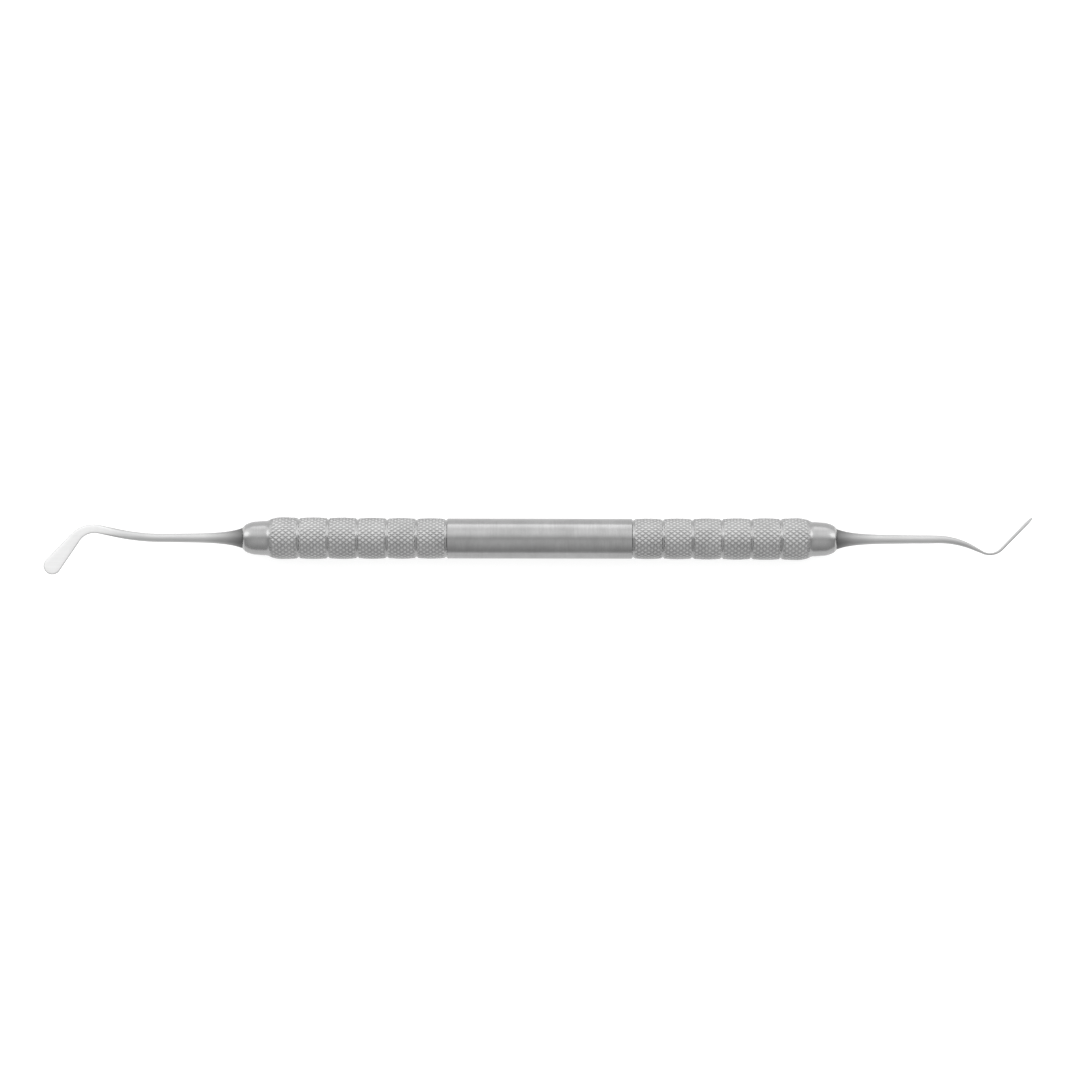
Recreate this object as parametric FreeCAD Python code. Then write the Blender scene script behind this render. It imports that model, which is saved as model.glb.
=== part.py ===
"""Double-ended dental hand instrument: a knurled hollow steel handle with a thin spatula blade at each end.

Millimetres. X runs along the handle, Y across it in the plane of all the bends, and +Z is up as the
instrument lies on a table. The origin is on the handle's axis, in the middle of the smooth barrel.

Seven pieces, each a separate solid in its own node:
  handle_tube           one tube: smooth barrel, two grips of knurled bands, a groove before each band
  left/right_end_plug   the collar that closes the tube, with a spigot inside it and a blind socket for a tang
  left/right_blade_insert  splined tang, tapered seat, flared root, round shank, two bends and a flat blade
  left/right_seal_ring  the solder fillet that seals the shank's root to the collar's nose
The left blade lies flat in the plane of its bends, and the right one is square to it.
The diamonds of the knurl are a surface finish on the bands, and are not cut here.
"""
import FreeCAD, Part
import math
import os

from FreeCAD import Vector

# ---------------------------------------------------------------- handle tube
BARREL_LENGTH = 33.7
BARREL_RADIUS = 3.61
TUBE_WALL = 0.81             # under the barrel
BANDS_PER_GRIP = 6
BAND_PITCH = 5.3
END_BAND_LENGTH = 5.1
FIRST_BAND_RISE = 0.05       # the band beside the barrel stands this much above it
LAST_BAND_RISE = 0.19        # and the band beside the collar this much
BAND_CROWN = 0.12            # how far a band's middle stands above its edges
GROOVE_WIDTH = 0.62
GROOVE_ROUNDNESS = 0.75      # its depth over half its width: 1 is a half circle
SHOULDER_LENGTH = 2.1        # rounded end of the last band
SHOULDER_DROP = 0.40         # how far the rounding falls to the collar
SEAM_TURN = 45.0             # degrees from +Y to the tube surfaces' seam, so that it isn't the line it lies on

# ------------------------------------------------------------------ end plugs
COLLAR_LENGTH = 4.50         # from the tube's end to the nose's face
COLLAR_FILLET_LENGTH = 1.05  # concave flare beside the tube
COLLAR_STEP = 0.28           # how far that flare falls
COLLAR_TAPER = 0.14          # how much slimmer the collar is where its nose begins
NOSE_LENGTH = 1.6
NOSE_FACE_SHARE = 0.5        # the nose's face reaches this far out from the root to the collar
NOSE_BULGE = 0.08            # how far the nose's curve stands out from its chord
SPIGOT_LENGTH = 12.0
SPIGOT_CHAMFER = 0.4
SPIGOT_CLEARANCE = 0.0       # press fit in the tube

# ------------------------------------------------ tang, seat and sealing ring
ROOT_RADIUS = 1.86           # the shank where it leaves the collar
RING_LENGTH = 0.45           # solder fillet, out from the nose's face
RING_LIP = 0.10              # its thickness at its outer end
SEAT_LENGTH = 2.5            # taper from the root down to the tang
TANG_RADIUS = 1.25
TANG_LENGTH = 9.5
TANG_CHAMFER = 0.3
TANG_CLEARANCE = 0.0         # press fit in the socket
SOCKET_SPARE = 0.5           # socket beyond the tang's end
SPLINE_COUNT = 12
SPLINE_DEPTH = 0.12
SPLINE_MARGIN = 0.8          # plain tang at each end of the splines

# ----------------------------------------------------------- shanks and blades
FLARE_LENGTH = 10.0          # concave flare from the root to the round shank
FLARE_DECAY = 2.8            # distance in which the flare falls to about a third
SHANK_RADIUS = 0.81          # at the flare's end
TURNED_LENGTH = 14.0         # from the root to where the forged shape begins
NECK_RADIUS = 0.75           # where the forged shape begins
FLATTENING_POWER = 2.3       # from there to the blade's bend the shank thins, most of it late
HEEL_HALF_WIDTH = 1.00       # half the blade's width at its heel, after the bend
TIP_RADIUS = 1.56            # the blade's round tip, which its tapered sides meet smoothly
HEEL_HALF_THICKNESS = 0.21
TIP_HALF_THICKNESS = 0.17
ROUND_POWER = 2.0            # section shape: a circle or an ellipse
FLAT_POWER = 3.6             # section shape: flat faces with soft edges
LAP = 0.4                    # the forged shape starts this far inside the turned shank
LAP_STEP = 0.004             # and stays this much slimmer than it

# Each end's run outwards from the turned shank. Turns are in degrees, towards +Y positive.
LEFT_END = dict(lead=0.5, offset_turn=12.0, offset_radius=40.0, incline=3.15,
                blade_turn=-63.0, blade_radius=4.4, blade_length=8.05, flat_in_plane=True)
RIGHT_END = dict(lead=4.2, offset_turn=-26.0, offset_radius=14.5, incline=1.95,
                 blade_turn=72.0, blade_radius=3.0, blade_length=7.8, flat_in_plane=False)

# ------------------------------------------------------------- derived places
HALF_BARREL = BARREL_LENGTH / 2
LAST_GROOVE = HALF_BARREL + (BANDS_PER_GRIP - 1) * BAND_PITCH
TUBE_END = LAST_GROOVE + END_BAND_LENGTH
NOSE_FACE = TUBE_END + COLLAR_LENGTH
ROOT = NOSE_FACE + RING_LENGTH          # where each insert's free shank begins
SEAT_END = NOSE_FACE - SEAT_LENGTH
TANG_END = SEAT_END - TANG_LENGTH
SOCKET_END = TANG_END - SOCKET_SPARE
TUBE_BORE_RADIUS = BARREL_RADIUS - TUBE_WALL
SPIGOT_RADIUS = TUBE_BORE_RADIUS - SPIGOT_CLEARANCE
SPIGOT_END = TUBE_END - SPIGOT_LENGTH
SOCKET_RADIUS = TANG_RADIUS + TANG_CLEARANCE
NOSE_START = NOSE_FACE - NOSE_LENGTH
FIRST_BAND_RADIUS = BARREL_RADIUS + FIRST_BAND_RISE
LAST_BAND_RADIUS = BARREL_RADIUS + LAST_BAND_RISE
SHOULDER_RADIUS = LAST_BAND_RADIUS - SHOULDER_DROP
COLLAR_RADIUS = SHOULDER_RADIUS - COLLAR_STEP
NOSE_START_RADIUS = COLLAR_RADIUS - COLLAR_TAPER
NOSE_FACE_RADIUS = ROOT_RADIUS + NOSE_FACE_SHARE * (NOSE_START_RADIUS - ROOT_RADIUS)

SECTION_POINTS = 32
X_AXIS = Vector(1, 0, 0)
Z_AXIS = Vector(0, 0, 1)
ORIGIN = Vector(0, 0, 0)


# ------------------------------------------------------------ general helpers
def at(x, radius):
    """A point of a lathe outline."""
    return Vector(x, radius, 0)


def line(x1, r1, x2, r2):
    return Part.LineSegment(at(x1, r1), at(x2, r2)).toShape()


def bulged(x1, r1, x2, r2, bulge):
    """An arc between two outline points whose middle stands off its chord, outwards if bulge is positive."""
    chord = at(x2, r2) - at(x1, r1)
    across = Vector(-chord.y, chord.x, 0).normalize()
    if across.y < 0:
        across = across * -1
    middle = (at(x1, r1) + at(x2, r2)) * 0.5 + across * bulge
    return Part.Arc(at(x1, r1), middle, at(x2, r2)).toShape()


def turned(edges):
    """A closed lathe outline, turned into a solid about the X axis."""
    face = Part.Face(Part.Wire(edges))
    solid = Part.makeSolid(face.revolve(ORIGIN, X_AXIS, 360))
    if solid.Volume < 0:
        solid.reverse()
    return solid


def mirrored(edge):
    """An outline edge on the right, copied to the left."""
    return edge.mirror(ORIGIN, X_AXIS)


# ---------------------------------------------------------------- handle tube
def band_radius(band):
    """A band's radius at its middle, counted from 0 beside the barrel."""
    along = band / (BANDS_PER_GRIP - 1) if BANDS_PER_GRIP > 1 else 1.0
    return FIRST_BAND_RADIUS + along * (LAST_BAND_RADIUS - FIRST_BAND_RADIUS)


def grip_outline():
    """The right grip's outline, from the barrel to the tube's end: a groove, then a crowned band, and so on."""
    half = GROOVE_WIDTH / 2
    edges = []
    before = BARREL_RADIUS
    for band in range(BANDS_PER_GRIP):
        groove = HALF_BARREL + band * BAND_PITCH
        edge = band_radius(band) - BAND_CROWN
        floor = at(groove, min(before, edge) - GROOVE_ROUNDNESS * half)
        edges.append(Part.Arc(at(groove - half, before), floor, at(groove + half, edge)).toShape())
        start = groove + half
        if band < BANDS_PER_GRIP - 1:
            end = groove + BAND_PITCH - half
            edges.append(bulged(start, edge, end, edge, BAND_CROWN))
        else:
            crest = TUBE_END - SHOULDER_LENGTH
            edges.append(bulged(start, edge, crest, LAST_BAND_RADIUS, BAND_CROWN / 4))
            edges.append(shoulder_arc(crest))
        before = edge
    return edges


def shoulder_arc(crest):
    """The last band's rounded end: an arc that leaves the crest level and falls to the collar."""
    radius = (SHOULDER_LENGTH**2 + SHOULDER_DROP**2) / (2 * SHOULDER_DROP)
    half_turn = math.asin(SHOULDER_LENGTH / radius) / 2
    middle = at(crest + radius * math.sin(half_turn), LAST_BAND_RADIUS - radius * (1 - math.cos(half_turn)))
    return Part.Arc(at(crest, LAST_BAND_RADIUS), middle, at(TUBE_END, SHOULDER_RADIUS)).toShape()


def handle_tube():
    right = grip_outline()
    barrel_end = HALF_BARREL - GROOVE_WIDTH / 2
    edges = [mirrored(edge) for edge in reversed(right)]
    edges.append(line(-barrel_end, BARREL_RADIUS, barrel_end, BARREL_RADIUS))
    edges.extend(right)
    edges.append(line(TUBE_END, SHOULDER_RADIUS, TUBE_END, TUBE_BORE_RADIUS))
    edges.append(line(TUBE_END, TUBE_BORE_RADIUS, -TUBE_END, TUBE_BORE_RADIUS))
    edges.append(line(-TUBE_END, TUBE_BORE_RADIUS, -TUBE_END, SHOULDER_RADIUS))
    tube = turned(edges)
    tube.rotate(ORIGIN, X_AXIS, SEAM_TURN)
    return tube


# ------------------------------------------------------------------ end plugs
def end_plug():
    """The right plug: spigot, flange against the tube's end, collar, rounded nose and the insert's socket."""
    flare_end = TUBE_END + COLLAR_FILLET_LENGTH
    flare_sag = COLLAR_STEP / 3
    return turned([
        line(SPIGOT_END, 0, SPIGOT_END, SPIGOT_RADIUS - SPIGOT_CHAMFER),
        line(SPIGOT_END, SPIGOT_RADIUS - SPIGOT_CHAMFER, SPIGOT_END + SPIGOT_CHAMFER, SPIGOT_RADIUS),
        line(SPIGOT_END + SPIGOT_CHAMFER, SPIGOT_RADIUS, TUBE_END, SPIGOT_RADIUS),
        line(TUBE_END, SPIGOT_RADIUS, TUBE_END, SHOULDER_RADIUS),
        bulged(TUBE_END, SHOULDER_RADIUS, flare_end, COLLAR_RADIUS, -flare_sag),
        line(flare_end, COLLAR_RADIUS, NOSE_START, NOSE_START_RADIUS),
        bulged(NOSE_START, NOSE_START_RADIUS, NOSE_FACE, NOSE_FACE_RADIUS, NOSE_BULGE),
        line(NOSE_FACE, NOSE_FACE_RADIUS, NOSE_FACE, ROOT_RADIUS),
        line(NOSE_FACE, ROOT_RADIUS, SEAT_END, SOCKET_RADIUS),
        line(SEAT_END, SOCKET_RADIUS, SOCKET_END, SOCKET_RADIUS),
        line(SOCKET_END, SOCKET_RADIUS, SOCKET_END, 0),
        line(SOCKET_END, 0, SPIGOT_END, 0),
    ])


def seal_ring():
    """The right solder fillet: it lies on the nose's face, round the shank's root."""
    return turned([
        line(NOSE_FACE, ROOT_RADIUS, NOSE_FACE, NOSE_FACE_RADIUS),
        line(NOSE_FACE, NOSE_FACE_RADIUS, ROOT, ROOT_RADIUS + RING_LIP),
        line(ROOT, ROOT_RADIUS + RING_LIP, ROOT, ROOT_RADIUS),
        line(ROOT, ROOT_RADIUS, NOSE_FACE, ROOT_RADIUS),
    ])


# -------------------------------------------------------------- blade inserts
def flare_radius(out):
    """The turned shank's radius at a distance out from its root."""
    end = math.exp(-FLARE_LENGTH / FLARE_DECAY)
    left = (math.exp(-out / FLARE_DECAY) - end) / (1 - end)
    return SHANK_RADIUS + (ROOT_RADIUS - SHANK_RADIUS) * left


def flare_edge():
    """The flare's outline: a smooth curve through points that lie closer together where it is steep."""
    steps = 10
    places = [FLARE_LENGTH * (step / steps) ** 1.5 for step in range(steps + 1)]
    curve = Part.BSplineCurve()
    curve.interpolate([at(ROOT + out, flare_radius(out)) for out in places])
    return curve.toShape()


def turned_shank():
    """The lathe-turned part of the right insert: tang, seat, root, flare and round shank."""
    turned_end = ROOT + TURNED_LENGTH
    return turned([
        line(TANG_END, 0, TANG_END, TANG_RADIUS - TANG_CHAMFER),
        line(TANG_END, TANG_RADIUS - TANG_CHAMFER, TANG_END + TANG_CHAMFER, TANG_RADIUS),
        line(TANG_END + TANG_CHAMFER, TANG_RADIUS, SEAT_END, TANG_RADIUS),
        line(SEAT_END, TANG_RADIUS, NOSE_FACE, ROOT_RADIUS),
        line(NOSE_FACE, ROOT_RADIUS, ROOT, ROOT_RADIUS),
        flare_edge(),
        line(ROOT + FLARE_LENGTH, SHANK_RADIUS, turned_end, NECK_RADIUS),
        line(turned_end, NECK_RADIUS, turned_end, 0),
        line(turned_end, 0, TANG_END, 0),
    ])


def tang_splines():
    """Cutters for the grooves between the tang's splines, which bite when the tang is pressed in."""
    start = TANG_END + SPLINE_MARGIN
    length = SEAT_END - SPLINE_MARGIN - start
    outside = TANG_RADIUS + SPLINE_DEPTH
    corners = [
        Vector(start, TANG_RADIUS - SPLINE_DEPTH, 0),
        Vector(start, outside, -2 * SPLINE_DEPTH),
        Vector(start, outside, 2 * SPLINE_DEPTH),
    ]
    cutters = []
    for number in range(SPLINE_COUNT):
        cutter = Part.Face(Part.makePolygon(corners + corners[:1])).extrude(Vector(length, 0, 0))
        cutter.rotate(ORIGIN, X_AXIS, 360 * number / SPLINE_COUNT)
        cutters.append(cutter)
    return cutters


class BentPath:
    """An insert's centreline from its root: straight, first bend, incline, blade bend, then the blade."""

    def __init__(self, end):
        offset_turn, blade_turn = math.radians(end["offset_turn"]), math.radians(end["blade_turn"])
        self.runs = [
            (TURNED_LENGTH + end["lead"], 0.0),
            (abs(offset_turn) * end["offset_radius"], offset_turn),
            (end["incline"], 0.0),
            (abs(blade_turn) * end["blade_radius"], blade_turn),
            (end["blade_length"], 0.0),
        ]
        lengths = [length for length, turn in self.runs]
        self.joints = [sum(lengths[:number]) for number in range(1, len(lengths) + 1)]
        self.bend_start, self.blade_start, self.length = self.joints[2:]

    def place(self, out):
        """The point and the heading in radians at a distance out along the centreline."""
        point, heading = Vector(ROOT, 0, 0), 0.0
        for number, (length, turn) in enumerate(self.runs):
            last = number == len(self.runs) - 1
            step = out if last else min(out, length)
            swing = turn * step / length
            chord = step if turn == 0 else 2 * length / abs(turn) * math.sin(abs(swing) / 2)
            middle = heading + swing / 2
            point = point + Vector(math.cos(middle), math.sin(middle), 0) * chord
            heading += swing
            out -= step
            if out <= 0:
                break
        return point, heading

    def tip_centre(self):
        return self.length - TIP_RADIUS

    def taper(self):
        """The angle of each of the blade's sides, from the heel's width to touching the tip's circle."""
        run = self.tip_centre() - self.blade_start
        return math.asin(TIP_RADIUS / math.hypot(run, HEEL_HALF_WIDTH)) - math.atan2(HEEL_HALF_WIDTH, run)


def share(value, start, stop):
    """How far value lies from start to stop, between 0 and 1."""
    return min(max((value - start) / (stop - start), 0.0), 1.0)


def section_sizes(path, out):
    """Half the width, half the thickness and the shape power of the forged section."""
    flat = share(out, TURNED_LENGTH, path.bend_start) ** FLATTENING_POWER
    along = share(out, path.bend_start, path.length)
    blade = HEEL_HALF_THICKNESS + (TIP_HALF_THICKNESS - HEEL_HALF_THICKNESS) * along
    thickness = NECK_RADIUS + (blade - NECK_RADIUS) * flat
    width = NECK_RADIUS + (HEEL_HALF_WIDTH - NECK_RADIUS) * share(out, path.bend_start, path.blade_start) ** 2
    width += max(out - path.blade_start, 0.0) * math.tan(path.taper())
    return width, thickness, ROUND_POWER + (FLAT_POWER - ROUND_POWER) * flat


def section(path, out, flat_in_plane, slimmer=0.0):
    """One closed section of the forged end, square to its centreline."""
    centre, heading = path.place(out)
    width, thickness, power = section_sizes(path, out)
    sideways = Vector(-math.sin(heading), math.cos(heading), 0)
    across, through = (sideways, Z_AXIS) if flat_in_plane else (Z_AXIS, sideways)
    points = []
    for number in range(SECTION_POINTS):
        turn = 2 * math.pi * number / SECTION_POINTS
        u, v = math.cos(turn), math.sin(turn)
        reach = (abs(u) ** power + abs(v) ** power) ** (-1 / power)
        u, v = u * reach * (width - slimmer), v * reach * (thickness - slimmer)
        points.append(centre + across * u + through * v)
    curve = Part.BSplineCurve()
    curve.interpolate(points, PeriodicFlag=True, Parameters=[float(n) for n in range(SECTION_POINTS + 1)])
    return Part.Wire(curve.toShape())


def spaced(start, stop, count):
    """count stations after start, evenly up to stop."""
    return [start + (stop - start) * number / count for number in range(1, count + 1)]


def forged_end(path, flat_in_plane):
    """The bends and the blade, lofted through sections, with the blade's end trimmed round."""
    beyond = 0.3
    straight, first_bend, bend, blade, tip = path.joints
    wires = [section(path, out, flat_in_plane, LAP_STEP) for out in (TURNED_LENGTH - LAP, TURNED_LENGTH)]
    stations = [straight]
    stations += spaced(straight, first_bend, 6)
    stations += spaced(first_bend, bend, 4)
    stations += spaced(bend, blade, 8)
    stations += spaced(blade, tip + beyond, 5)
    wires += [section(path, out, flat_in_plane) for out in stations]
    return Part.makeLoft(wires, True).cut(tip_trimmer(path, flat_in_plane, beyond))


def tip_trimmer(path, flat_in_plane, beyond):
    """What is left of a block round the blade's end when its round tip is taken out of it."""
    centre = path.tip_centre()
    tangent = centre - TIP_RADIUS * math.sin(path.taper())
    reach = path.length + 2 * beyond - tangent
    span = 4 * TIP_RADIUS
    block = Part.makeBox(reach, span, span, Vector(tangent, -span / 2, -span / 2))
    disc = Part.makeCylinder(TIP_RADIUS, span, Vector(centre, 0, -span / 2), Z_AXIS)
    trimmer = block.cut(disc)
    if not flat_in_plane:
        trimmer.rotate(ORIGIN, X_AXIS, 90)
    heel, heading = path.place(path.blade_start)
    trimmer.translate(Vector(-path.blade_start, 0, 0))
    trimmer.rotate(ORIGIN, Z_AXIS, math.degrees(heading))
    trimmer.translate(heel)
    return trimmer


def blade_insert(end):
    """One insert, built as if on the right."""
    turned_part = turned_shank().cut(tang_splines())
    whole = turned_part.fuse(forged_end(BentPath(end), end["flat_in_plane"]))
    return whole.Solids[0] if len(whole.Solids) == 1 else whole


# -------------------------------------------------------------------- output
def to_left(shape):
    """A right-hand piece, mirrored to the left end."""
    return shape.mirror(ORIGIN, X_AXIS)


def build():
    plug, ring = end_plug(), seal_ring()
    return {
        "handle_tube": handle_tube(),
        "right_end_plug": plug,
        "left_end_plug": to_left(plug),
        "right_seal_ring": ring,
        "left_seal_ring": to_left(ring),
        "right_blade_insert": blade_insert(RIGHT_END),
        "left_blade_insert": to_left(blade_insert(LEFT_END)),
    }


def main():
    os.makedirs("parts", exist_ok=True)
    for name, shape in build().items():
        if not shape.isValid() or len(shape.Solids) != 1 or shape.Volume <= 0:
            raise ValueError(f"{name} is not one valid solid")
        shape.exportStep(f"parts/{name}.step")
        box = shape.BoundBox
        print(f"{name}: {shape.Volume:.2f} mm3, X {box.XMin:.2f} to {box.XMax:.2f}, "
              f"Y {box.YMin:.2f} to {box.YMax:.2f}, Z {box.ZMin:.2f} to {box.ZMax:.2f}")


main()
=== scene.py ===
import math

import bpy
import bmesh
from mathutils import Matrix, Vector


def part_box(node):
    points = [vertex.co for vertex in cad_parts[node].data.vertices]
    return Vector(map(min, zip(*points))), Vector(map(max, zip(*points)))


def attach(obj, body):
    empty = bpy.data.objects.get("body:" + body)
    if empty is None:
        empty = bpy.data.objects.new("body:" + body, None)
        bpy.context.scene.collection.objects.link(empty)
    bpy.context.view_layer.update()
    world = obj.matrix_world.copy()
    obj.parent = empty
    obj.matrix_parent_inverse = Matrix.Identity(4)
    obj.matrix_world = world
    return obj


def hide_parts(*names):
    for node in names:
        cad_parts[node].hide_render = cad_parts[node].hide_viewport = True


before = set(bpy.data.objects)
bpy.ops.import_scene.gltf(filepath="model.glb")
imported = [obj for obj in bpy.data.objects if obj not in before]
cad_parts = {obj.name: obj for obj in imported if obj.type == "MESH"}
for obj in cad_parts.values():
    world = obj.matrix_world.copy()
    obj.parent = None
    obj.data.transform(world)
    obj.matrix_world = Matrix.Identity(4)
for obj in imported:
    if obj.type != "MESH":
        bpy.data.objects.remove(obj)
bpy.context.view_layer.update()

# Looks of a double-ended dental spatula instrument: a knurled hollow steel handle, and at each end a
# collar plug, a solder ring and a thin round-tipped blade. Each piece stands for one CAD node and is built
# in the row frame: X along the handle, Y across it in the plane of the bends, Z up. The pieces' sizes are
# in millimetres until a mesh is made. Floor, lights and camera are in metres.

MM = 0.001


def lowest_x(node):
    """A CAD node's lowest X, in millimetres."""
    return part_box(node)[0].x / MM


def highest_x(node):
    """A CAD node's highest X, in millimetres."""
    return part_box(node)[1].x / MM


# ------------------------------------------------------------ sizes, as in the CAD source
TUBE_END = highest_x("handle_tube")
SPIGOT_END = lowest_x("right_end_plug")
NOSE_FACE = highest_x("right_end_plug")
ROOT = highest_x("right_seal_ring")
TANG_END = lowest_x("right_blade_insert")

HALF_BARREL = 16.85
BARREL_RADIUS = 3.61
BORE_RADIUS = 2.80
BANDS = 6
BAND_PITCH = 5.3
FIRST_BAND_RADIUS = 3.66
LAST_BAND_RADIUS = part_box("handle_tube")[1].z / MM       # as far as the CAD node's facets reach
BAND_CROWN = 0.12
GROOVE_HALF, GROOVE_ROUNDNESS = 0.31, 0.75
GROOVE_DEPTH = GROOVE_ROUNDNESS * GROOVE_HALF
GROOVE_POWER = 1.7            # how full the groove's rounded bottom is
SHOULDER_LENGTH, SHOULDER_DROP = 2.1, 0.40

COLLAR_FILLET, COLLAR_STEP, COLLAR_TAPER = 1.05, 0.28, 0.14
FILLET_HOLLOW = COLLAR_STEP / 3
NOSE_LENGTH, NOSE_BULGE = 1.6, 0.08
SPIGOT_CHAMFER = 0.4
SHOULDER_RADIUS = LAST_BAND_RADIUS - SHOULDER_DROP
COLLAR_RADIUS = SHOULDER_RADIUS - COLLAR_STEP
NOSE_START_RADIUS = COLLAR_RADIUS - COLLAR_TAPER
ROOT_RADIUS = 1.86
NOSE_FACE_RADIUS = (ROOT_RADIUS + NOSE_START_RADIUS) / 2
RING_LIP = 0.10

SEAT_LENGTH = 2.5
TANG_RADIUS = 1.25
TANG_CHAMFER = 0.3
SOCKET_SPARE = 0.5
SPLINES, SPLINE_DEPTH, SPLINE_MARGIN = 12, 0.12, 0.8
SEAT_END = NOSE_FACE - SEAT_LENGTH

FLARE_LENGTH, FLARE_DECAY = 10.0, 2.8
SHANK_RADIUS, NECK_RADIUS = 0.81, 0.75
TURNED_LENGTH = 14.0
FLATTENING_POWER = 2.3
HEEL_HALF_WIDTH, TIP_RADIUS = 1.00, 1.56
HEEL_HALF_THICKNESS, TIP_HALF_THICKNESS = 0.21, 0.17
ROUND_POWER, FLAT_POWER = 2.0, 3.6

LEFT_END = dict(lead=0.5, offset_turn=12.0, offset_radius=40.0, incline=3.15,
                blade_turn=-63.0, blade_radius=4.4, blade_length=8.05, flat_in_plane=True)
RIGHT_END = dict(lead=4.2, offset_turn=-26.0, offset_radius=14.5, incline=1.95,
                 blade_turn=72.0, blade_radius=3.0, blade_length=7.8, flat_in_plane=False)
MIRROR = dict(left=-1, right=1)

# ------------------------------------------------------------ knurl
DIAMONDS_ROUND = 26
DIAMOND_LENGTH = 1.15
DIAMOND_STEPS = 6             # mesh steps in one diamond, each way
KNURL_DEPTH = 0.12
KNURL_RUN_OUT = 0.6           # the knurl fades out over this length at the tube's end
VALLEY_SHARE = 1 / 3          # half the width of a valley between diamonds, as a share of their spacing
AROUND = DIAMONDS_ROUND * DIAMOND_STEPS
TURNED_LEVEL = 0.5           # the number off the knurl, where 0 is a valley and 1 a diamond's top

# ------------------------------------------------------------ mesh steps
CREASE_ANGLE = math.radians(50.0)          # sharper edges than this aren't smoothed
DIGITS = 5                                 # stations along the grip are rounded to these decimals
GROOVE_STEPS = 9
ARC_STEPS = 8
LATHE_AROUND = 96
INSERT_AROUND = 48
FLARE_STEPS, FLARE_CROWDING = 24, 1.5      # the flare's rings lie closer together where it is steep
SHANK_STEPS = 4
FORGED_STEPS = (8, 14, 8, 22, 10)          # in the straight, offset bend, incline, blade bend and blade
TIP_STEPS = 16
ON_THE_EDGE = 1e-9                         # a smaller height than this is the outline's very edge
SPLINE_START = 0.01                        # the splines reach their depth within this length


# ------------------------------------------------------------ meshes
def share(value, start, stop):
    """How far value lies from start to stop, between 0 and 1."""
    return min(max((value - start) / (stop - start), 0.0), 1.0)


def mix(start, stop, part):
    return start + (stop - start) * part


def turns(around):
    """The angles of a ring's points."""
    return [2 * math.pi * step / around for step in range(around)]


def add_to_scene(name, data):
    thing = bpy.data.objects.new(name, data)
    bpy.context.scene.collection.objects.link(thing)
    return thing


def add_piece(name, points, faces, node, wear_and_painted_light=None):
    """A closed mesh that stands for a CAD node. An optional number for each point is read by the piece's
    material, which paints highlight and shade into the tone with it."""
    mesh = bpy.data.meshes.new(name)
    mesh.from_pydata([(x * MM, y * MM, z * MM) for x, y, z in points], [], faces)
    if wear_and_painted_light is not None:
        mesh.attributes.new("wear_and_painted_light", "FLOAT", "POINT").data.foreach_set("value", wear_and_painted_light)
    bm = bmesh.new()
    bm.from_mesh(mesh)
    bmesh.ops.recalc_face_normals(bm, faces=bm.faces)
    if bm.calc_volume(signed=True) < 0:
        bmesh.ops.reverse_faces(bm, faces=bm.faces)
    for face in bm.faces:
        face.smooth = True
    for edge in bm.edges:
        edge.smooth = edge.calc_face_angle(0.0) < CREASE_ANGLE
    bm.to_mesh(mesh)
    bm.free()
    piece = add_to_scene(name, mesh)
    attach(piece, "root")
    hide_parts(node)
    return piece


def rings_to_faces(ring_count, around, loop, parity=None):
    """Faces between rings of points. A loop joins the last ring to the first. Parity says, for a strip and
    a step round it, which way the quad is cut into triangles."""
    faces = []
    for ring in range(ring_count if loop else ring_count - 1):
        low, high = ring * around, (ring + 1) % ring_count * around
        for step in range(around):
            after = (step + 1) % around
            a, b, c, d = low + step, low + after, high + after, high + step
            cut = parity(ring, step) if parity else None
            if cut is None:
                faces.append((a, b, c, d))
            elif cut:
                faces += [(a, b, c), (a, c, d)]
            else:
                faces += [(a, b, d), (b, c, d)]
    return faces


def arc_points(x1, r1, x2, r2, bulge):
    """Points of an outline's arc after its first. Its middle stands off its chord by bulge, outwards."""
    chord = math.hypot(x2 - x1, r2 - r1)
    along = ((x2 - x1) / chord, (r2 - r1) / chord)
    across = (-along[1], along[0]) if along[0] > 0 else (along[1], -along[0])
    radius = (chord ** 2 / 4 + bulge ** 2) / (2 * abs(bulge))
    half = 2 * math.atan2(abs(bulge), chord / 2)
    side = 1 if bulge > 0 else -1
    points = []
    for number in range(1, ARC_STEPS + 1):
        turn = half * (2 * number / ARC_STEPS - 1)
        run = chord / 2 + radius * math.sin(turn)
        rise = side * (radius * math.cos(turn) - radius + abs(bulge))
        points.append((x1 + along[0] * run + across[0] * rise, r1 + along[1] * run + across[1] * rise))
    return points


# ------------------------------------------------------------ handle tube
def band_radius(band):
    """A band's radius at its fullest, from the barrel (0) outwards."""
    return mix(FIRST_BAND_RADIUS, LAST_BAND_RADIUS, band / (BANDS - 1))


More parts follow.
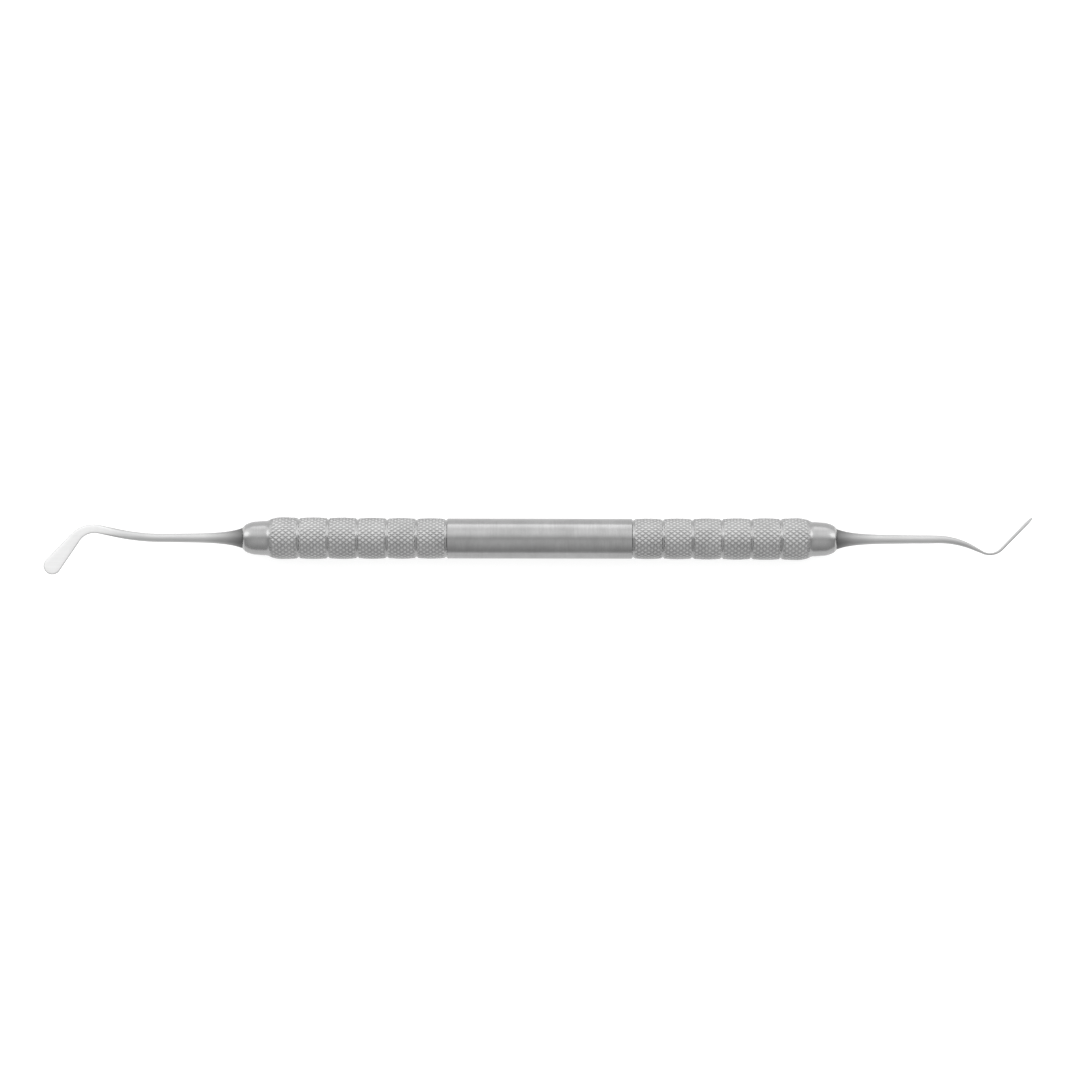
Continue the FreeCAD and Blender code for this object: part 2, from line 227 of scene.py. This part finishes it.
def turned_radius(x):
    """The tube's radius as turned, and that of the band that the knurl is rolled into before the grooves are
    cut, at a distance from the barrel's middle. The band is None on the smooth barrel."""
    if x < HALF_BARREL - GROOVE_HALF:
        return BARREL_RADIUS, None
    band = min(int((x - HALF_BARREL + GROOVE_HALF) / BAND_PITCH), BANDS - 1)
    groove = HALF_BARREL + band * BAND_PITCH
    edge = band_radius(band) - BAND_CROWN
    before = BARREL_RADIUS if band == 0 else band_radius(band - 1) - BAND_CROWN
    if x < groove + GROOVE_HALF:
        side = (x - groove) / GROOVE_HALF
        level = mix(before, edge, (side + 1) / 2)
        radius = level - GROOVE_DEPTH * (1 - abs(side) ** GROOVE_POWER)
        on_barrel = band == 0 and side < 0
        return radius, None if on_barrel else level
    start = groove + GROOVE_HALF
    if band < BANDS - 1:
        end = groove + BAND_PITCH - GROOVE_HALF
        side = 2 * (x - start) / (end - start) - 1
        radius = edge + BAND_CROWN * (1 - side * side)
        return radius, radius
    crest = TUBE_END - SHOULDER_LENGTH
    if x < crest:
        radius = mix(edge, LAST_BAND_RADIUS, math.sin(math.pi / 2 * (x - start) / (crest - start)))
        return radius, radius
    arc = (SHOULDER_LENGTH ** 2 + SHOULDER_DROP ** 2) / (2 * SHOULDER_DROP)
    radius = LAST_BAND_RADIUS - arc + math.sqrt(arc ** 2 - (x - crest) ** 2)
    return radius, radius + KNURL_DEPTH * share(x, TUBE_END - KNURL_RUN_OUT, TUBE_END)


def knurl_height(x, step):
    """1 on a diamond's flat top and 0 at the bottom of the valleys round it."""
    along, turn = x / DIAMOND_LENGTH, step / DIAMOND_STEPS
    from_valley = min(abs(phase - round(phase)) for phase in (turn + along, turn - along))
    return min(from_valley / VALLEY_SHARE, 1.0)


def grip_stations():
    """Places along the right grip, from the first groove to the tube's end: crowded at each groove's edges,
    and on the knurl's lattice between the grooves, clear of their edges."""
    stations = set()
    lattice = DIAMOND_LENGTH / DIAMOND_STEPS
    clear = lattice / 4
    for band in range(BANDS):
        groove = HALF_BARREL + band * BAND_PITCH
        for number in range(GROOVE_STEPS + 1):
            stations.add(groove - GROOVE_HALF * math.cos(math.pi * number / GROOVE_STEPS))
        start = groove + GROOVE_HALF
        end = TUBE_END if band == BANDS - 1 else groove + BAND_PITCH - GROOVE_HALF
        first, last = math.ceil(start / lattice), math.floor(end / lattice)
        for number in range(first, last + 1):
            if start + clear < number * lattice < end - clear:
                stations.add(number * lattice)
    stations.add(TUBE_END)
    return sorted({round(x, DIGITS) for x in stations})


def handle_tube():
    """The tube's outer rings from left to right, then the bore's two rings."""
    right = grip_stations()
    stations = [-x for x in reversed(right)] + right
    rings, wear_and_painted_light = [], []
    # Each point's number is the knurl's height, or the turned level off the knurl. The handle's material
    # paints the diamonds' tops lighter with it, partly as burnished crests and partly as painted highlight.
    for x in stations:
        turned, band = turned_radius(min(abs(x), TUBE_END))
        ring = []
        for step, turn in enumerate(turns(AROUND)):
            radius, wear_and_light_level = turned, TURNED_LEVEL
            if band is not None:
                height = knurl_height(x, step)
                rolled = band - KNURL_DEPTH * (1 - height)
                if rolled <= turned:
                    radius, wear_and_light_level = rolled, height
            ring.append((x, radius * math.cos(turn), radius * math.sin(turn)))
            wear_and_painted_light.append(wear_and_light_level)
        rings.append(ring)
    for x in (stations[-1], stations[0]):
        rings.append([(x, BORE_RADIUS * math.cos(turn), BORE_RADIUS * math.sin(turn))
                      for turn in turns(AROUND)])
        wear_and_painted_light += [TURNED_LEVEL] * AROUND

    def parity(ring, step):
        """Quads of the knurl are cut along its valleys."""
        if ring >= len(stations) - 1:
            return None
        middle = (stations[ring] + stations[ring + 1]) / 2
        if turned_radius(abs(middle))[1] is None:
            return None
        row = math.floor(middle * DIAMOND_STEPS / DIAMOND_LENGTH)
        return (row + step) % 2 == 0

    points = [point for ring in rings for point in ring]
    faces = rings_to_faces(len(rings), AROUND, True, parity)
    return add_piece("handle", points, faces, "handle_tube", wear_and_painted_light=wear_and_painted_light)


# ------------------------------------------------------------ lathed pieces
def lathed(name, outline, node, mirror, loop=False):
    """An outline turned about the X axis. Outline points on the axis become one point. Mirror is -1 on the
    left. A loop joins the outline's last point to its first."""
    points, rings = [], []
    for x, radius in outline:
        first = len(points)
        if radius == 0:
            points.append((mirror * x, 0.0, 0.0))
            rings.append([first] * LATHE_AROUND)
            continue
        for turn in turns(LATHE_AROUND):
            points.append((mirror * x, radius * math.cos(turn), radius * math.sin(turn)))
        rings.append(list(range(first, first + LATHE_AROUND)))
    faces = []
    following = rings[1:] + rings[:1] if loop else rings[1:]
    for low, high in zip(rings, following):
        for step in range(LATHE_AROUND):
            after = (step + 1) % LATHE_AROUND
            corners = list(dict.fromkeys((low[step], low[after], high[after], high[step])))
            if len(corners) > 2:
                faces.append(corners)
    return add_piece(name, points, faces, node)


def end_plug(side):
    """Spigot in the tube's bore, concave flare, tapered collar, rounded nose and blind socket."""
    flare_end = TUBE_END + COLLAR_FILLET
    nose_start = NOSE_FACE - NOSE_LENGTH
    socket_end = TANG_END - SOCKET_SPARE
    outline = [(SPIGOT_END, 0.0),
               (SPIGOT_END, BORE_RADIUS - SPIGOT_CHAMFER),
               (SPIGOT_END + SPIGOT_CHAMFER, BORE_RADIUS),
               (TUBE_END, BORE_RADIUS),
               (TUBE_END, SHOULDER_RADIUS)]
    outline += arc_points(TUBE_END, SHOULDER_RADIUS, flare_end, COLLAR_RADIUS, -FILLET_HOLLOW)
    outline += [(nose_start, NOSE_START_RADIUS)]
    outline += arc_points(nose_start, NOSE_START_RADIUS, NOSE_FACE, NOSE_FACE_RADIUS, NOSE_BULGE)
    outline += [(NOSE_FACE, ROOT_RADIUS),
                (SEAT_END, TANG_RADIUS),
                (socket_end, TANG_RADIUS),
                (socket_end, 0.0)]
    return lathed(side + "_collar", outline, side + "_end_plug", MIRROR[side])


def seal_ring(side):
    """The solder fillet round the root."""
    outline = [(NOSE_FACE, ROOT_RADIUS),
               (NOSE_FACE, NOSE_FACE_RADIUS),
               (ROOT, ROOT_RADIUS + RING_LIP),
               (ROOT, ROOT_RADIUS)]
    return lathed(side + "_solder", outline, side + "_seal_ring", MIRROR[side], loop=True)


# ------------------------------------------------------------ blade inserts
RIM_SHADE_WIDTH = 0.18             # how far the painted shade along the rim reaches in from the blade's outline
ROUND_RIM_SHADE_SHARE = 0.6        # and how much farther, as a share of the half width, where the section is round
RIM_SHADE_FLATNESS = 0.5           # the painted shade along the rim grows until the section is this flat


class BentPath:
    """An insert's centreline from its root: straight, offset bend, incline, blade bend, then the blade. The
    blade widens along its taper up to the tangent, where its round tip begins."""

    def __init__(self, end):
        self.flat_in_plane = end["flat_in_plane"]
        offset_turn, blade_turn = math.radians(end["offset_turn"]), math.radians(end["blade_turn"])
        self.runs = [(TURNED_LENGTH + end["lead"], 0.0),
                     (abs(offset_turn) * end["offset_radius"], offset_turn),
                     (end["incline"], 0.0),
                     (abs(blade_turn) * end["blade_radius"], blade_turn),
                     (end["blade_length"], 0.0)]
        lengths = [length for length, turn in self.runs]
        self.joints = [sum(lengths[:number]) for number in range(1, len(lengths) + 1)]
        self.bend_start, self.blade_start, self.length = self.joints[2:]
        self.tip_centre = self.length - TIP_RADIUS
        run = self.tip_centre - self.blade_start
        reach = math.hypot(run, HEEL_HALF_WIDTH)
        self.taper = math.asin(TIP_RADIUS / reach) - math.atan2(HEEL_HALF_WIDTH, run)
        self.tangent = self.tip_centre - TIP_RADIUS * math.sin(self.taper)

    def place(self, out):
        """The point and the heading at a distance out from the root along the centreline."""
        x, y, heading = ROOT, 0.0, 0.0
        for number, (length, turn) in enumerate(self.runs):
            step = out if number == len(self.runs) - 1 or out < length else length
            swing = turn * step / length
            chord = step if turn == 0 else 2 * length / abs(turn) * math.sin(abs(swing) / 2)
            x += chord * math.cos(heading + swing / 2)
            y += chord * math.sin(heading + swing / 2)
            heading += swing
            out -= step
            if out == 0:
                break
        return x, y, heading

    def point(self, out, across, through):
        """A section's point in the row frame, on the right."""
        x, y, heading = (ROOT + out, 0.0, 0.0) if out < 0 else self.place(out)
        sideways, up = (across, through) if self.flat_in_plane else (through, across)
        return x - sideways * math.sin(heading), y + sideways * math.cos(heading), up


def flare_radius(out):
    """The flare's radius at a distance out from the root."""
    end = math.exp(-FLARE_LENGTH / FLARE_DECAY)
    return mix(SHANK_RADIUS, ROOT_RADIUS, (math.exp(-out / FLARE_DECAY) - end) / (1 - end))


def forged_sizes(path, out):
    """Half the width, half the thickness and the shape power of the forged section."""
    flat = share(out, TURNED_LENGTH, path.bend_start) ** FLATTENING_POWER
    blade = mix(HEEL_HALF_THICKNESS, TIP_HALF_THICKNESS, share(out, path.bend_start, path.length))
    thickness = mix(NECK_RADIUS, blade, flat)
    width = mix(NECK_RADIUS, HEEL_HALF_WIDTH, share(out, path.bend_start, path.blade_start) ** 2)
    width += max(out - path.blade_start, 0.0) * math.tan(path.taper)
    return width, thickness, mix(ROUND_POWER, FLAT_POWER, flat)


def unit_outline(power):
    """Points round a superellipse of half width and half thickness 1."""
    points = []
    for turn in turns(INSERT_AROUND):
        u, v = math.cos(turn), math.sin(turn)
        reach = (abs(u) ** power + abs(v) ** power) ** (-1 / power)
        points.append((u * reach, v * reach))
    return points


def circle(out, radius, spline_depth=0.0):
    """A round section's points, each out from the root, across and through. Splines may be cut into it."""
    ring = []
    for number, turn in enumerate(turns(INSERT_AROUND)):
        in_valley = number % (INSERT_AROUND // SPLINES) == 0
        here = radius - spline_depth if in_valley else radius
        ring.append((out, here * math.cos(turn), here * math.sin(turn)))
    return ring


def turned_rings():
    """The splined tang, the conical seat, the flared root and the round shank."""
    tang, seat = TANG_END - ROOT, SEAT_END - ROOT
    rings = [circle(tang, TANG_RADIUS - TANG_CHAMFER),
             circle(tang + TANG_CHAMFER, TANG_RADIUS),
             circle(tang + SPLINE_MARGIN - SPLINE_START, TANG_RADIUS),
             circle(tang + SPLINE_MARGIN, TANG_RADIUS, SPLINE_DEPTH),
             circle(seat - SPLINE_MARGIN, TANG_RADIUS, SPLINE_DEPTH),
             circle(seat - SPLINE_MARGIN + SPLINE_START, TANG_RADIUS),
             circle(seat, TANG_RADIUS),
             circle(NOSE_FACE - ROOT, ROOT_RADIUS)]
    for number in range(FLARE_STEPS + 1):
        out = FLARE_LENGTH * (number / FLARE_STEPS) ** FLARE_CROWDING
        rings.append(circle(out, flare_radius(out)))
    for number in range(1, SHANK_STEPS + 1):
        along = number / SHANK_STEPS
        rings.append(circle(mix(FLARE_LENGTH, TURNED_LENGTH, along), mix(SHANK_RADIUS, NECK_RADIUS, along)))
    return rings


def forged_rings(path):
    """Both bends and the blade up to its round tip. Also each point's edge number, which is 1 at the rim and
    0 on a flat, and sets the painted shade along the rim."""
    rings, edges = [], []
    before = TURNED_LENGTH
    for stop, count in zip(path.joints, FORGED_STEPS):
        stop = min(stop, path.tangent)
        for number in range(1, count + 1):
            out = mix(before, stop, number / count)
            width, thickness, power = forged_sizes(path, out)
            outline = unit_outline(power)
            rings.append([(out, u * width, v * thickness) for u, v in outline])
            flat = (power - ROUND_POWER) / (FLAT_POWER - ROUND_POWER)
            reach_in = RIM_SHADE_WIDTH / width + ROUND_RIM_SHADE_SHARE * (1 - flat)
            dark = min(flat / RIM_SHADE_FLATNESS, 1.0)
            edges += [dark * share(abs(u), 1 - reach_in, 1) for u, v in outline]
        before = stop
    return rings, edges


def tip_rings(path):
    """The round tip, thinned to nothing at its rim, with each point's edge number for the painted shade along
    the rim.
    """
    rings, edges = [], []
    outline = unit_outline(FLAT_POWER)
    for number in range(1, TIP_STEPS):
        turn = mix(-path.taper, math.pi / 2, number / TIP_STEPS)
        out, width = path.tip_centre + TIP_RADIUS * math.sin(turn), TIP_RADIUS * math.cos(turn)
        thickness = forged_sizes(path, out)[1]
        ring = []
        for u, v in outline:
            across = u * width
            reach = min(math.hypot(across, max(out - path.tip_centre, 0.0)) / TIP_RADIUS, 1.0)
            dome = (1 - reach ** FLAT_POWER) ** (1 / FLAT_POWER)
            through = math.copysign(thickness * dome, v) if abs(v) > ON_THE_EDGE else 0.0
            ring.append((out, across, through))
            edges.append(share(reach, 1 - RIM_SHADE_WIDTH / TIP_RADIUS, 1))
        rings.append(ring)
    return rings, edges


def blade_insert(side, end):
    """All rings of an insert, closed by a point at the tang's end and one at the tip."""
    path = BentPath(end)
    rings = turned_rings()
    edges = [0.0] * (len(rings) * INSERT_AROUND)
    for more_rings, more_edges in (forged_rings(path), tip_rings(path)):
        rings += more_rings
        edges += more_edges
    points = [path.point(*spot) for ring in rings for spot in ring]
    points += [(TANG_END, 0.0, 0.0), path.point(path.length, 0.0, 0.0)]
    edges += [0.0, 1.0]
    faces = rings_to_faces(len(rings), INSERT_AROUND, False)
    tang_point, tip_point = len(points) - 2, len(points) - 1
    last = (len(rings) - 1) * INSERT_AROUND
    for step in range(INSERT_AROUND):
        after = (step + 1) % INSERT_AROUND
        faces += [(tang_point, after, step), (tip_point, last + step, last + after)]
    points = [(MIRROR[side] * x, y, z) for x, y, z in points]
    # The edge numbers go to the material, which paints shade along the blade's rim with them.
    return add_piece(side + "_blade", points, faces, side + "_blade_insert", wear_and_painted_light=edges)


# ------------------------------------------------------------ materials
class Nodes:
    """Short calls for building one material's or world's node tree."""

    def __init__(self, owner):
        owner.use_nodes = True
        self.tree = owner.node_tree
        self.tree.nodes.clear()

    def add(self, kind, inputs=None, **settings):
        node = self.tree.nodes.new(kind)
        for name, value in settings.items():
            setattr(node, name, value)
        for name, value in (inputs or {}).items():
            socket = node.inputs[name]
            if isinstance(value, bpy.types.NodeSocket):
                self.tree.links.new(value, socket)
            else:
                socket.default_value = value
        return node

    def math(self, operation, a, b=0.0):
        return self.add("ShaderNodeMath", {0: a, 1: b}, operation=operation).outputs[0]

    def blend(self, a, b, share_of_b):
        rest_of_a = self.math("MULTIPLY", a, 1 - share_of_b)
        return self.math("ADD", rest_of_a, self.math("MULTIPLY", b, share_of_b))

    def spread(self, value, low, high, to_low, to_high):
        """Maps low..high to to_low..to_high."""
        return self.add("ShaderNodeMapRange", {"Value": value, "From Min": low, "From Max": high,
                                               "To Min": to_low, "To Max": to_high}).outputs[0]

    def noise(self, vector, scale, detail, roughness):
        return self.add("ShaderNodeTexNoise", {"Vector": vector, "Scale": scale, "Detail": detail,
                                               "Roughness": roughness}).outputs["Fac"]

    def stretched(self, vector, scale):
        return self.add("ShaderNodeMapping", {"Vector": vector, "Scale": scale}).outputs[0]

    def levels(self, value, levels):
        """Grey levels at stops from 0 to 1, both of which are given."""
        ramp = self.add("ShaderNodeValToRGB", {"Fac": value})
        elements = ramp.color_ramp.elements
        for stop, level in levels:
            if stop == 0.0:
                element = elements[0]
            elif stop == 1.0:
                element = elements[len(elements) - 1]
            else:
                element = elements.new(stop)
            element.color = (*grey(level), 1)
        return ramp.outputs[0]

    def scaled(self, colour, level):
        """A colour times a level. Sockets 6, 7 and 2 are the node's two colours and its colour result."""
        return self.add("ShaderNodeMix", {"Factor": 1.0, 6: colour, 7: level}, data_type="RGBA",
                        blend_type="MULTIPLY", clamp_result=True).outputs[2]

    def tint(self, value, dark, light):
        ramp = self.add("ShaderNodeValToRGB", {"Fac": value})
        ramp.color_ramp.elements[0].color = (*dark, 1)
        ramp.color_ramp.elements[1].color = (*light, 1)
        return ramp.outputs[0]


def grey(level):
    return (level, level, level)


# Noises, as scale per metre, detail and roughness. The marks' scale is in each steel's streaks.
MARKS = (1.0, 3.0, 0.6)
CLOUDS = (260.0, 3.0, 0.55)
GRAIN = (9000.0, 2.0, 0.6)
FLOOR_CLOUDS = (40.0, 2.0, 0.5)
TONE_SPAN = (0.35, 0.65)                   # the noise values that stand for the dark and the light tone
GLOSS_SPAN = (0.3, 0.7)                    # and for the least and the most roughness
GRAIN_IN_BUMP = 0.3
BUMP_HEIGHT = 0.02 * MM


def steel(name, dark, light, gloss, streaks, bump, wear_and_painted_light=None, painted_light_and_shade_along=None, rolled=0.0):
    """Satin or polished steel. Dark and light are its tones; gloss is the roughness, low and high; streaks is
    the scale of its finishing marks along X, Y and Z, per metre; bump is their strength. The first set of
    levels, from 0 to 1, scales the tone by the piece's own number for each point: it paints the handle's
    knurl tops lighter, partly as burnished crests and partly as painted highlight, and the blades' rims
    darker as painted shade. The second set, at millimetres, scales it by the distance out from the root:
    painted shade that darkens the insert towards the collar, and painted light that lightens the left insert
    towards its blade. Rolled is how much rougher the knurl is, per unit of the piece's number away from the
    turned steel's."""
    material = bpy.data.materials.new(name)
    n = Nodes(material)
    where = n.add("ShaderNodeTexCoord").outputs["Object"]
    marks = n.noise(n.stretched(where, streaks), *MARKS)
    clouds = n.noise(where, *CLOUDS)
    grain = n.noise(where, *GRAIN)
    colour = n.tint(n.spread(n.blend(marks, clouds, 0.5), *TONE_SPAN, 0.0, 1.0), dark, light)
    # Painted highlight and shade by the piece's own number for each point: lighter knurl tops, partly
    # burnished crests, and darker blade rims.
    if wear_and_painted_light is not None:
        made = n.add("ShaderNodeAttribute", attribute_name="wear_and_painted_light").outputs["Fac"]
        colour = n.scaled(colour, n.levels(made, wear_and_painted_light))
    # Painted shade and light along the insert, by the distance out from the root.
    if painted_light_and_shade_along is not None:
        x = n.add("ShaderNodeSeparateXYZ", {"Vector": where}).outputs["X"]
        out = n.math("SUBTRACT", n.math("ABSOLUTE", x), ROOT * MM)
        reach = painted_light_and_shade_along[-1][0]
        out = n.spread(out, 0.0, reach * MM, 0.0, 1.0)
        colour = n.scaled(colour, n.levels(out, [(spot / reach, level) for spot, level in painted_light_and_shade_along]))
    rough = n.spread(n.blend(clouds, grain, 0.5), *GLOSS_SPAN, *gloss)
    if rolled:
        away = n.math("ABSOLUTE", n.math("SUBTRACT", made, TURNED_LEVEL))
        rough = n.math("ADD", rough, n.math("MULTIPLY", away, rolled))
    height = n.blend(marks, grain, GRAIN_IN_BUMP)
    relief = n.add("ShaderNodeBump", {"Strength": bump, "Distance": BUMP_HEIGHT, "Height": height})
    shader = n.add("ShaderNodeBsdfPrincipled", {"Base Color": colour, "Metallic": 1.0, "Roughness": rough,
                                                "Normal": relief.outputs["Normal"]})
    n.add("ShaderNodeOutputMaterial", {"Surface": shader.outputs[0]})
    return material


LATHE_STREAKS = (22000.0, 300.0, 300.0)    # fine rings round the handle's axis
POLISH_STREAKS = (120.0, 4000.0, 4000.0)   # long streaks along it
CAST_STREAKS = (1500.0, 1500.0, 1500.0)
BLADE_GLOSS = (0.50, 0.60)
# Painted shade near the collar: both inserts are darkened towards their root.
ROOT_PAINTED_SHADE = [(0.0, 0.14), (3.0, 0.34), (7.0, 0.50)]

# The handle's knurl tops are painted lighter than its turned steel: partly burnished crests, partly painted
# highlight.
HANDLE = steel("satin_handle_steel", grey(0.54), grey(0.70), (0.18, 0.24), LATHE_STREAKS, bump=0.2,
               wear_and_painted_light=[(0.0, 0.55), (0.45, 0.5), (0.55, 0.5), (1.0, 0.84)], rolled=0.8)
COLLAR = steel("turned_collar_steel", grey(0.29), grey(0.35), (0.22, 0.28), LATHE_STREAKS, bump=0.2)
SOLDER = steel("solder", grey(0.36), (0.44, 0.44, 0.435), (0.20, 0.34), CAST_STREAKS, bump=0.3)
# From above, the left blade shows its flat side and the right one its edge. The two are copies of one blade
# steel with painted light and shade tuned to each: the left one is lighter towards its blade as painted light
# and has a stronger painted shade along its rim.
FACE_ON = steel("polished_blade_steel", grey(0.94), grey(1.0), BLADE_GLOSS, POLISH_STREAKS, bump=0.1,
                wear_and_painted_light=[(0.0, 1.0), (1.0, 0.45)],
                painted_light_and_shade_along=ROOT_PAINTED_SHADE + [(14.0, 0.51), (18.5, 0.52), (21.0, 0.59), (24.0, 0.73), (27.0, 0.81)])
EDGE_ON = steel("polished_blade_steel_edge_on", grey(0.88), grey(1.0), BLADE_GLOSS, POLISH_STREAKS, bump=0.1,
                wear_and_painted_light=[(0.0, 1.0), (1.0, 0.8)],
                painted_light_and_shade_along=ROOT_PAINTED_SHADE + [(15.0, 0.52), (20.0, 0.50), (26.0, 0.50)])


def paint(piece, material):
    piece.data.materials.append(material)


# ------------------------------------------------------------ studio
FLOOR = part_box("handle_tube")[0].z
FLOOR_HALF = 1.5
FLOOR_TONES = grey(0.43), grey(0.46)
FLOOR_GLOW = 0.72

SOFTBOX_X, SOFTBOX_Y, SOFTBOX_Z = 0.72, 0.34, 0.40
SOFTBOX_SIDE = 0.40
SOFTBOX_WATTS = 0.6

# How bright the studio is, by a direction's Y.
STUDIO_LEVELS = [(-1.0, 0.80), (-0.985, 0.60), (-0.95, 0.54), (-0.9, 0.62), (-0.8, 0.71), (-0.66, 0.83),
                 (-0.5, 0.93), (-0.3, 0.99), (-0.12, 0.94), (-0.03, 0.84), (0.03, 0.84), (0.1, 0.92),
                 (0.2, 1.14), (0.3, 1.33), (0.4, 1.5), (0.6, 1.70), (0.85, 1.62), (0.92, 1.95),
                 (0.97, 2.2), (1.0, 2.4)]
BRIGHTEST = 2.5                            # the level that a ramp's white stands for
# Towards the handle's two ends it is dimmer at the first Y and below, and brighter at the second and above.
ENDS_Y = (-0.1, 0.35)
ENDS_GAIN = (-0.45, 0.3)

FRAME_WIDTH = 0.1944                       # what the picture spans at the handle's axis
LENS, SENSOR_WIDTH = 100.0, 36.0
CAMERA_X, CAMERA_Y = 0.000063, -0.000243   # the camera looks straight down from over this point
CAMERA_TURN = 0.115                        # degrees
NEAR_CLIP, FAR_CLIP = 0.01, 10.0


def pale_floor():
    """A pale floor that also glows a little, like a light table."""
    material = bpy.data.materials.new("pale_floor")
    n = Nodes(material)
    where = n.add("ShaderNodeTexCoord").outputs["Object"]
    colour = n.tint(n.noise(where, *FLOOR_CLOUDS), *FLOOR_TONES)
    shader = n.add("ShaderNodeBsdfPrincipled", {"Base Color": colour, "Roughness": 0.9,
                                                "Specular IOR Level": 0.1, "Emission Color": (1, 1, 1, 1),
                                                "Emission Strength": FLOOR_GLOW})
    n.add("ShaderNodeOutputMaterial", {"Surface": shader.outputs[0]})
    return material


def add_floor():
    mesh = bpy.data.meshes.new("floor")
    corners = [(-1, -1), (1, -1), (1, 1), (-1, 1)]
    mesh.from_pydata([(x * FLOOR_HALF, y * FLOOR_HALF, FLOOR) for x, y in corners], [], [(0, 1, 2, 3)])
    floor = add_to_scene("floor", mesh)
    paint(floor, pale_floor())


def add_studio():
    """Soft light from all round, by direction."""
    world = bpy.data.worlds.new("studio")
    bpy.context.scene.world = world
    n = Nodes(world)
    direction = n.add("ShaderNodeTexCoord").outputs["Generated"]
    split = n.add("ShaderNodeSeparateXYZ", {"Vector": direction})
    glow = n.levels(n.spread(split.outputs["Y"], -1.0, 1.0, 0.0, 1.0),
                    [((y + 1) / 2, level / BRIGHTEST) for y, level in STUDIO_LEVELS])
    ends = n.math("MULTIPLY", n.math("POWER", split.outputs["X"], 2.0),
                  n.spread(split.outputs["Y"], *ENDS_Y, *ENDS_GAIN))
    strength = n.math("MULTIPLY", n.math("ADD", ends, 1.0), BRIGHTEST)
    background = n.add("ShaderNodeBackground", {"Color": glow, "Strength": strength})
    n.add("ShaderNodeOutputWorld", {"Surface": background.outputs[0]})


def add_softbox(side):
    """A square soft box turned to the handle's middle, over one end."""
    data = bpy.data.lights.new("softbox", "AREA")
    data.shape = "RECTANGLE"
    data.size, data.size_y, data.energy = SOFTBOX_SIDE, SOFTBOX_SIDE, SOFTBOX_WATTS
    light = add_to_scene("softbox", data)
    light.location = (side * SOFTBOX_X, SOFTBOX_Y, SOFTBOX_Z)
    light.rotation_mode = "QUATERNION"
    light.rotation_quaternion = light.location.to_track_quat("Z", "Y")


def add_camera():
    data = bpy.data.cameras.new("camera")
    data.lens, data.sensor_width = LENS, SENSOR_WIDTH
    data.clip_start, data.clip_end = NEAR_CLIP, FAR_CLIP
    camera = add_to_scene("camera", data)
    camera.location = (CAMERA_X, CAMERA_Y, FRAME_WIDTH * LENS / SENSOR_WIDTH)
    camera.rotation_euler = (0.0, 0.0, math.radians(CAMERA_TURN))
    bpy.context.scene.camera = camera


# ------------------------------------------------------------ scene
paint(handle_tube(), HANDLE)
for side, end, blade_steel in (("left", LEFT_END, FACE_ON), ("right", RIGHT_END, EDGE_ON)):
    paint(end_plug(side), COLLAR)
    paint(seal_ring(side), SOLDER)
    paint(blade_insert(side, end), blade_steel)

add_floor()
add_studio()
for side in (-1, 1):
    add_softbox(side)
add_camera()
bpy.context.scene.view_settings.view_transform = "Standard"
